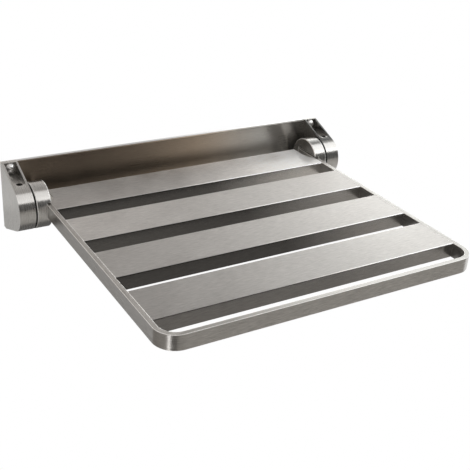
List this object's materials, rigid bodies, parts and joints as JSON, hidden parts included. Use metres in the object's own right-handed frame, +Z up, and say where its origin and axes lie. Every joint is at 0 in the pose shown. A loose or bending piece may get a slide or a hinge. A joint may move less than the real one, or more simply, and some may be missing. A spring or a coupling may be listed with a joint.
{
  "type": "fold down wall seat",
  "caption": "Slatted steel seat that folds up against the wall between two hinge brackets, held where it is put by friction washers.",
  "frame": {"origin": "on the wall's face, midway between the two wall brackets and level with the hinge axis", "axes": "+X to the right for someone who faces the wall, +Y into the wall, +Z up; the seat is folded down and reaches out along -Y"},
  "size_m": [0.478, 0.4043, 0.09],
  "materials": {
    "slat_steel": "brushed along the slats",
    "frame_steel": "brushed along the bar",
    "hinge_steel": "turned and milled, fine satin",
    "plate_steel": "brushed along the plate",
    "screw_steel": "bright, polished",
    "pin_steel": "ground",
    "spring_steel": "blued",
    "bush_bronze": "bored, oiled",
    "black_plastic": "matte"
  },
  "bodies": {
    "wall_mount": {"wall_bracket_left": "hinge_steel", "wall_bracket_right": "hinge_steel", "back_plate": "plate_steel", "wall_screws": "screw_steel", "wall_screw_washers": "screw_steel", "pivot_bush_left": "bush_bronze", "pivot_bush_right": "bush_bronze", "pivot_lock_screws": "pin_steel", "stop_pin_left": "pin_steel", "stop_pin_right": "pin_steel", "friction_washer_left": "black_plastic", "friction_washer_right": "black_plastic"},
    "seat": {"seat_frame": "frame_steel", "slat_front": "slat_steel", "slat_second": "slat_steel", "slat_third": "slat_steel", "slat_rear": "slat_steel", "hinge_drum_left": "hinge_steel", "hinge_drum_right": "hinge_steel", "pivot_pin_left": "pin_steel", "pivot_pin_right": "pin_steel", "disc_spring_left": "spring_steel", "disc_spring_right": "spring_steel"}
  },
  "joints": [
    {"name": "seat_fold", "type": "hinge", "parent": "wall_mount", "child": "seat", "pos_m": [0, -0.044, 0], "axis": [-1, 0, 0], "range_deg": [0, 90]}
  ]
}
